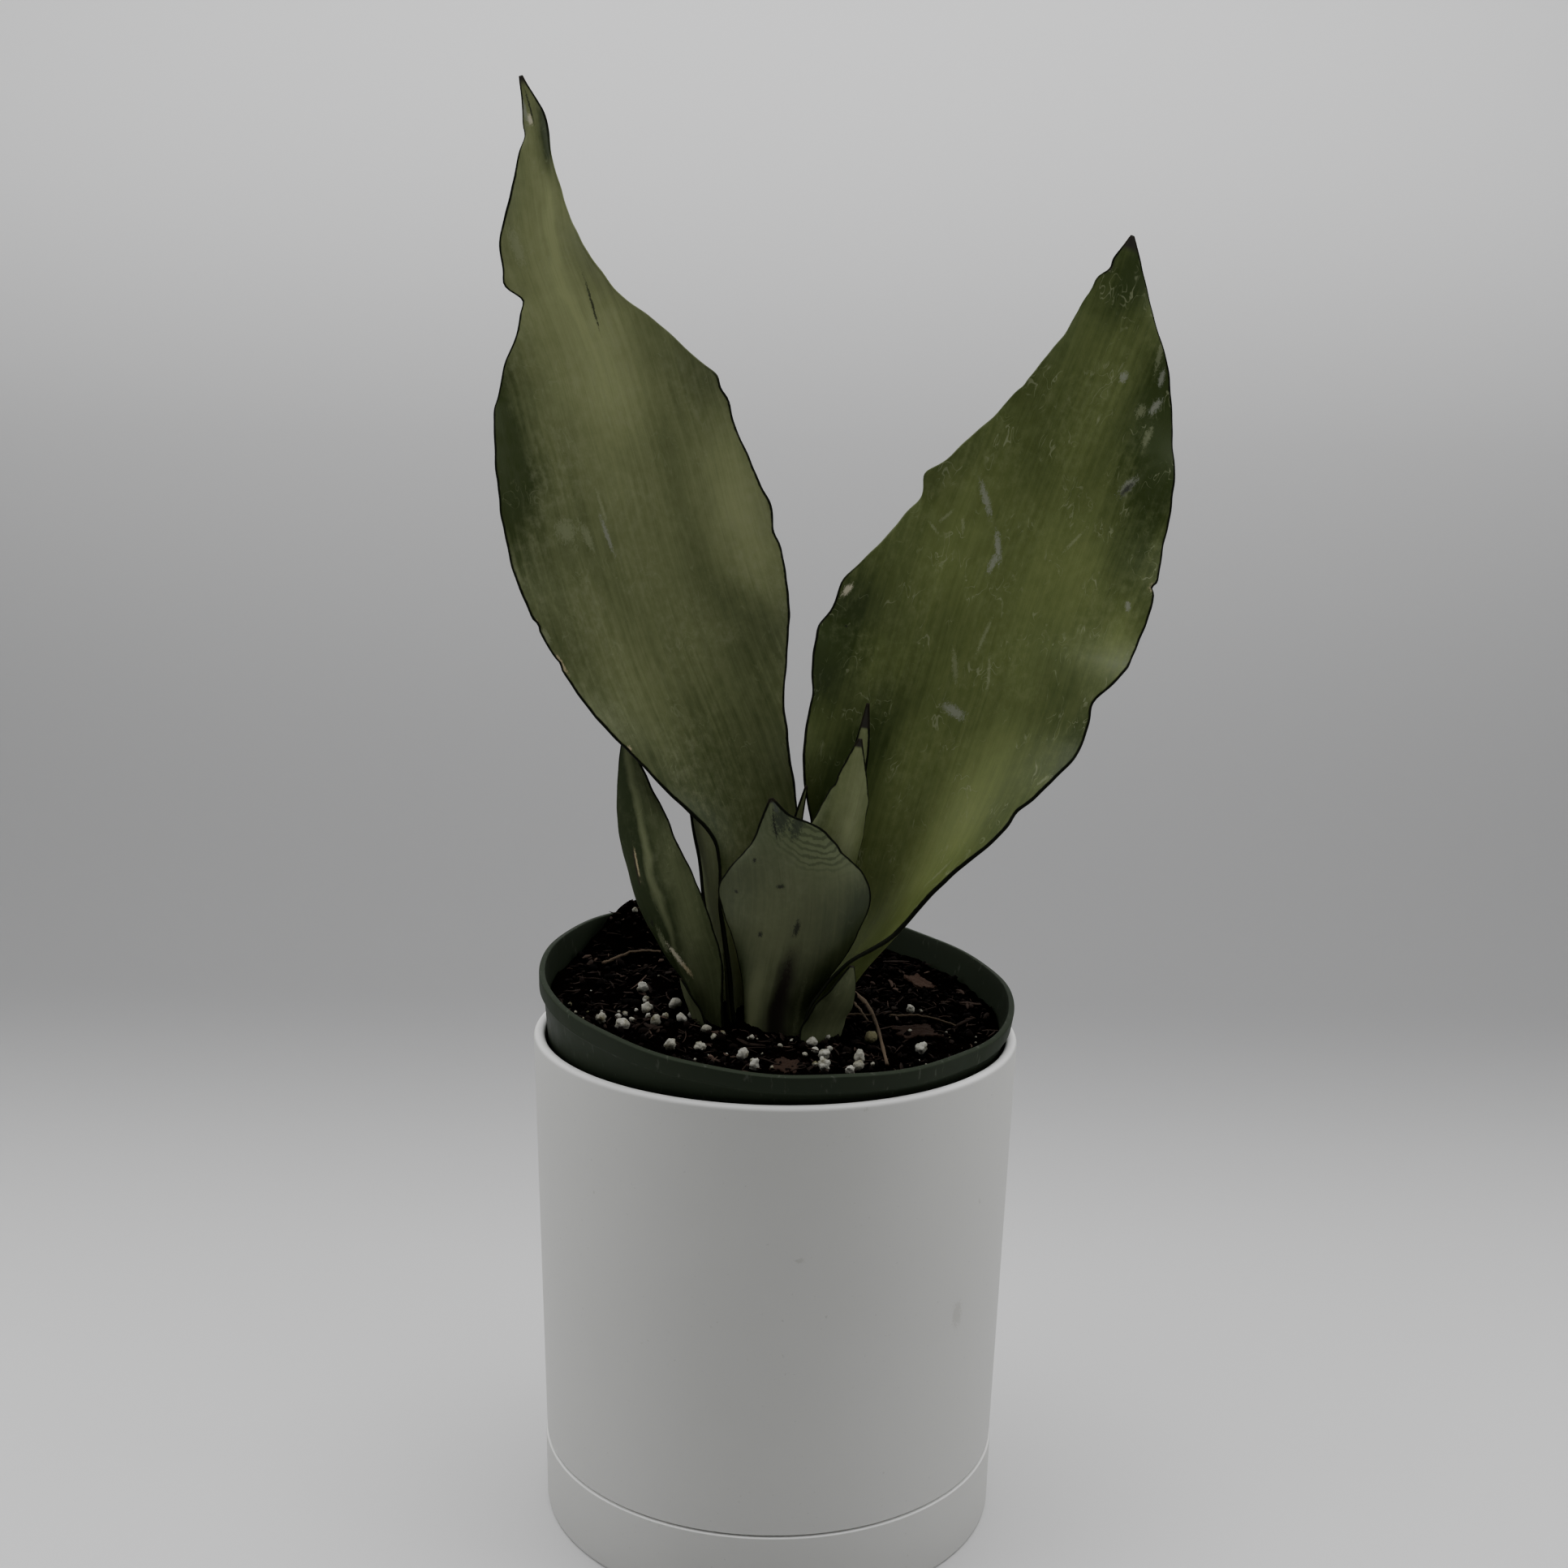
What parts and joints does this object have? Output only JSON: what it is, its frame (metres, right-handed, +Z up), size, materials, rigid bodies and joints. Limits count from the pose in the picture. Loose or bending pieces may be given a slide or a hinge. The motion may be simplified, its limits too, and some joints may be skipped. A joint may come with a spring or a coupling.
{
  "type": "potted snake plant",
  "caption": "Snake plant with broad upright sword leaves, growing in a thin nursery pot that sits tilted inside a white tapered cover pot on its saucer",
  "frame": {"origin": "centre of the saucer's flat underside, on the pots' common axis", "axes": "+Z up along the pots' axis; +Y away from the viewer of the picture; +X to the viewer's right"},
  "size_m": [0.1623, 0.118, 0.3469],
  "materials": {
    "glazed_white": "matte",
    "green_plastic": "satin",
    "soil": "matte",
    "root": "matte",
    "leaf": "satin",
    "perlite": "matte",
    "bark": "matte",
    "dry_stem": "matte"
  },
  "bodies": {
    "root": {"bark_chip_1": "bark", "bark_chip_2": "bark", "bark_chip_3": "bark", "cover_pot": "glazed_white", "leaf_back_left": "leaf", "leaf_front_broad": "leaf", "leaf_inner_front": "leaf", "leaf_inner_rear": "leaf", "leaf_left_short": "leaf", "leaf_sprout": "leaf", "leaf_tall_left": "leaf", "leaf_tall_right": "leaf", "nursery_pot": "green_plastic", "perlite_01": "perlite", "perlite_02": "perlite", "perlite_03": "perlite", "perlite_04": "perlite", "perlite_05": "perlite", "perlite_06": "perlite", "perlite_07": "perlite", "perlite_08": "perlite", "perlite_09": "perlite", "perlite_10": "perlite", "perlite_11": "perlite", "perlite_12": "perlite", "perlite_13": "perlite", "perlite_14": "perlite", "potting_soil": "soil", "rhizome": "root", "saucer": "glazed_white", "sheath_left": "leaf", "sheath_right": "leaf", "twig": "dry_stem"}
  },
  "joints": []
}
